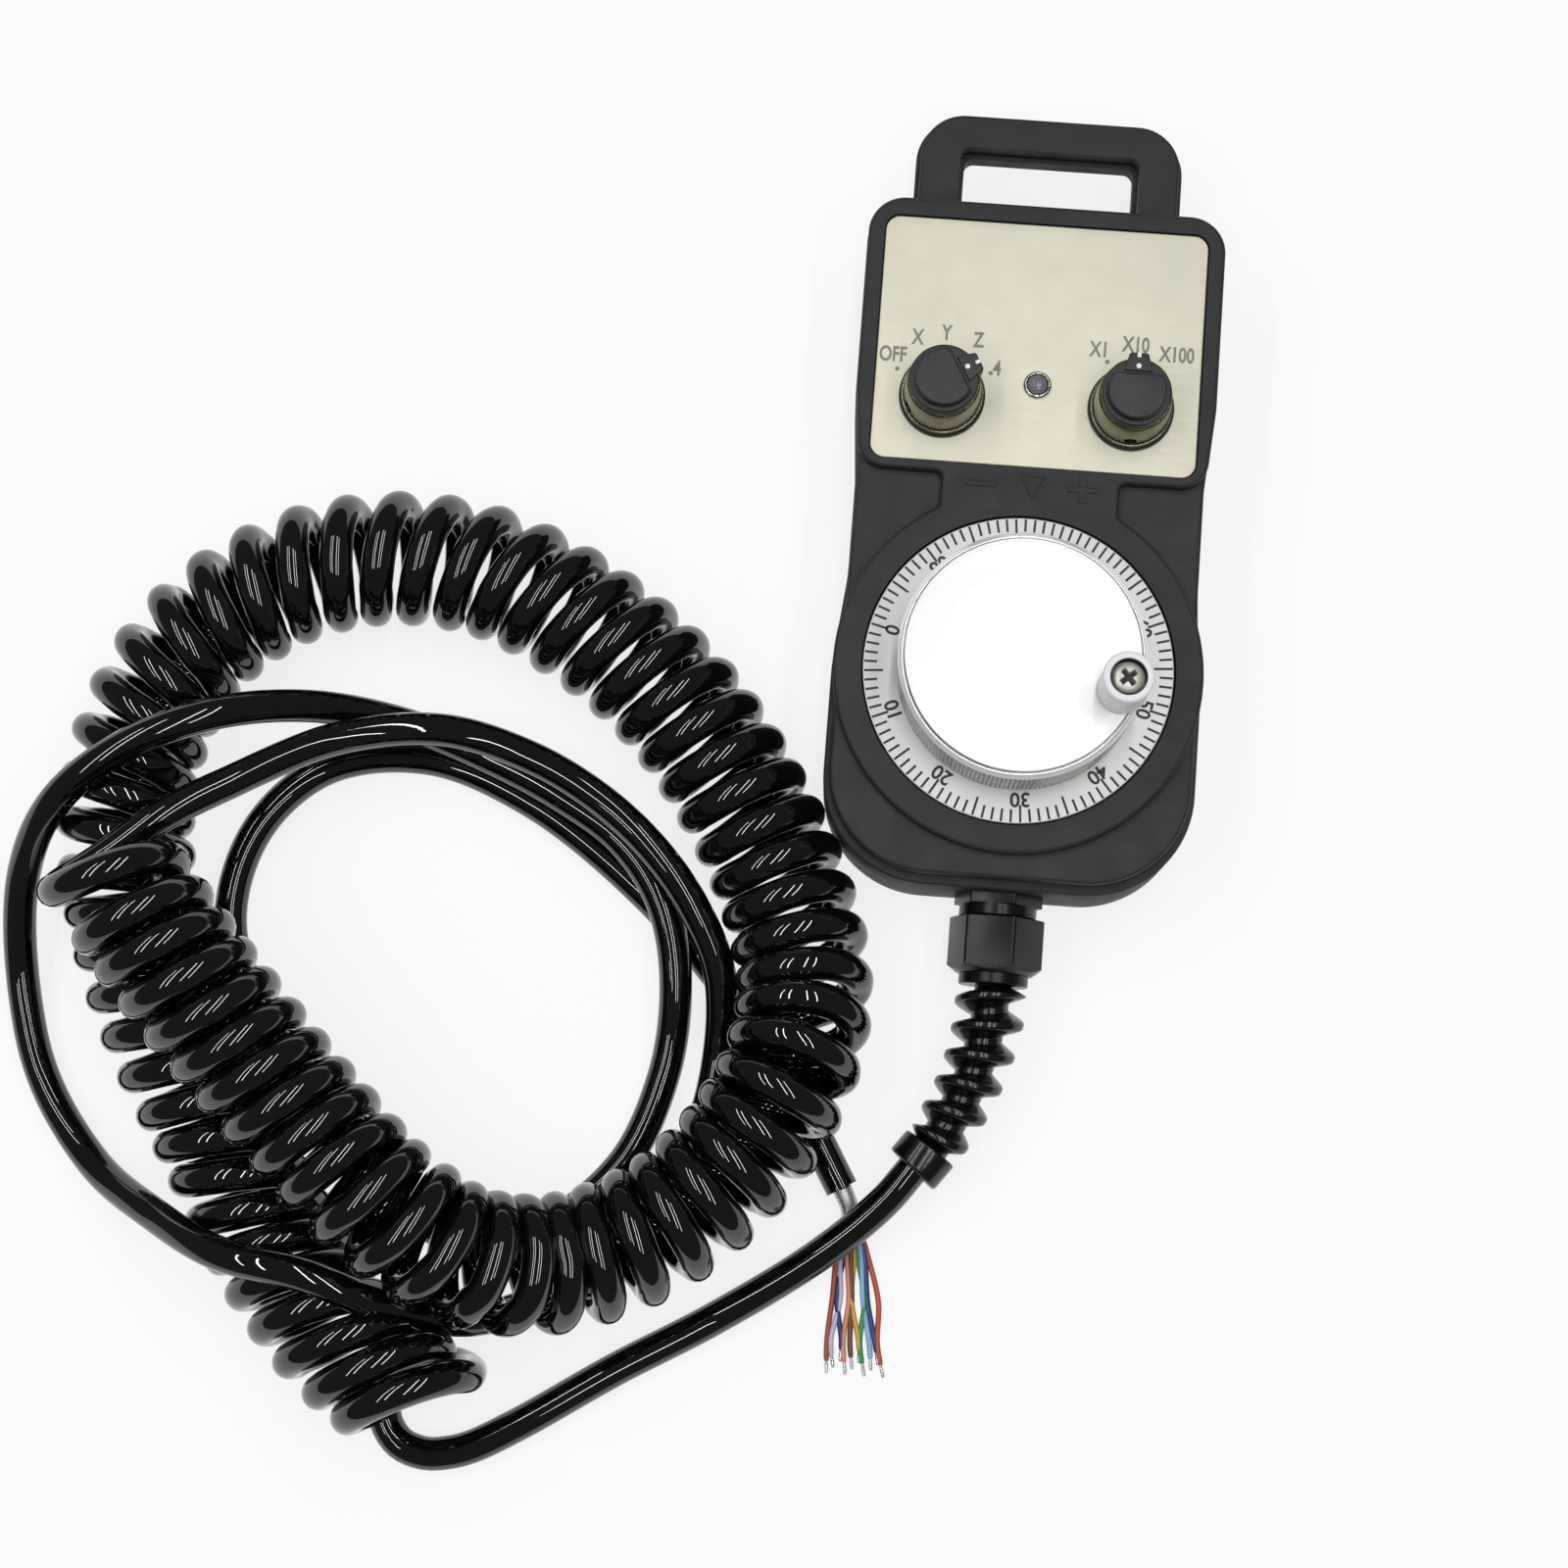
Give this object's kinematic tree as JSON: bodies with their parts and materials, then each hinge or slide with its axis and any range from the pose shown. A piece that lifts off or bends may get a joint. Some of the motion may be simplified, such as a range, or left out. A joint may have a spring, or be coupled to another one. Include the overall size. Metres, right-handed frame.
{
  "type": "pulse generator handwheel",
  "caption": "Hand-held pulse generator with a graduated crank wheel, two selector knobs, a hanger loop, a cable gland and a coiled cord that ends in bare cores.",
  "frame": {"origin": "middle of the pendant's footprint on the surface it lies on, measured without the cord", "axes": "+Z out of the front face, +Y towards the hanger, +X to the operator's right"},
  "size_m": [0.2909, 0.3463, 0.0735],
  "materials": {
    "housing_plastic": "fine moulded texture",
    "rear_plastic": "fine moulded texture",
    "panel_aluminium": "brushed, champagne anodised",
    "knob_black": "fine texture",
    "knob_metal": "turned, dark champagne",
    "seal_black": "smooth",
    "screw_steel": "zinc plated",
    "shaft_steel": "ground",
    "switch_plastic": "moulded",
    "indicator_lens": "smoked clear",
    "indicator_metal": "polished",
    "wheel_aluminium": "satin turned",
    "mirror_disc": "polished",
    "grip_metal": "satin bright",
    "encoder_metal": "die cast",
    "board_green": "solder mask",
    "terminal_green": "moulded",
    "gland_nylon": "moulded nylon",
    "gland_rubber": "moulded",
    "cord_jacket": "glossy polyurethane",
    "shield_braid": "tinned braid",
    "core_insulation": "ten colours of insulation"
  },
  "bodies": {
    "housing": {"front_shell": "housing_plastic", "rear_shell": "rear_plastic", "hanger_handle": "rear_plastic", "front_panel": "panel_aluminium", "shell_screws": "screw_steel", "axis_seal_ring": "seal_black", "axis_switch_body": "switch_plastic", "axis_switch_nut": "screw_steel", "rate_seal_ring": "seal_black", "rate_switch_body": "switch_plastic", "rate_switch_nut": "screw_steel", "led_lens": "indicator_lens", "led_bezel": "indicator_metal", "encoder_body": "encoder_metal", "encoder_screws": "screw_steel", "circuit_board": "board_green", "terminal_block": "terminal_green", "inner_cable": "cord_jacket", "gland_body": "gland_nylon", "gland_locknut": "gland_nylon", "gland_seal": "gland_rubber", "gland_nut": "gland_nylon", "strain_relief": "gland_nylon", "relief_collar": "gland_nylon", "cord_tail": "cord_jacket", "cord_coil": "cord_jacket", "cord_lead": "cord_jacket", "core_shield": "shield_braid", "core_wires": "core_insulation"},
    "wheel": {"dial_wheel": "wheel_aluminium", "wheel_face_disc": "mirror_disc", "crank_screw": "screw_steel", "encoder_shaft": "shaft_steel"},
    "grip": {"crank_grip": "grip_metal"},
    "axis_knob": {"axis_knob_skirt": "knob_metal", "axis_knob_cap": "knob_black", "axis_grub_screw": "screw_steel", "axis_switch_shaft": "shaft_steel"},
    "rate_knob": {"rate_knob_skirt": "knob_metal", "rate_knob_cap": "knob_black", "rate_grub_screw": "screw_steel", "rate_switch_shaft": "shaft_steel"}
  },
  "joints": [
    {"name": "wheel_spin", "type": "hinge", "parent": "housing", "child": "wheel", "pos_m": [0, -0.0345, 0.038], "axis": [0, 0, 1], "continuous": true},
    {"name": "crank_grip_spin", "type": "hinge", "parent": "wheel", "child": "grip", "pos_m": [0.02356, -0.04121, 0.06], "axis": [0, 0, 1], "continuous": true},
    {"name": "axis_selector_turn", "type": "hinge", "parent": "housing", "child": "axis_knob", "pos_m": [-0.0231, 0.0321, 0.04], "axis": [0, 0, 1], "range_deg": [0, 120]},
    {"name": "rate_selector_turn", "type": "hinge", "parent": "housing", "child": "rate_knob", "pos_m": [0.0231, 0.0321, 0.04], "axis": [0, 0, 1], "range_deg": [-30, 30]}
  ]
}
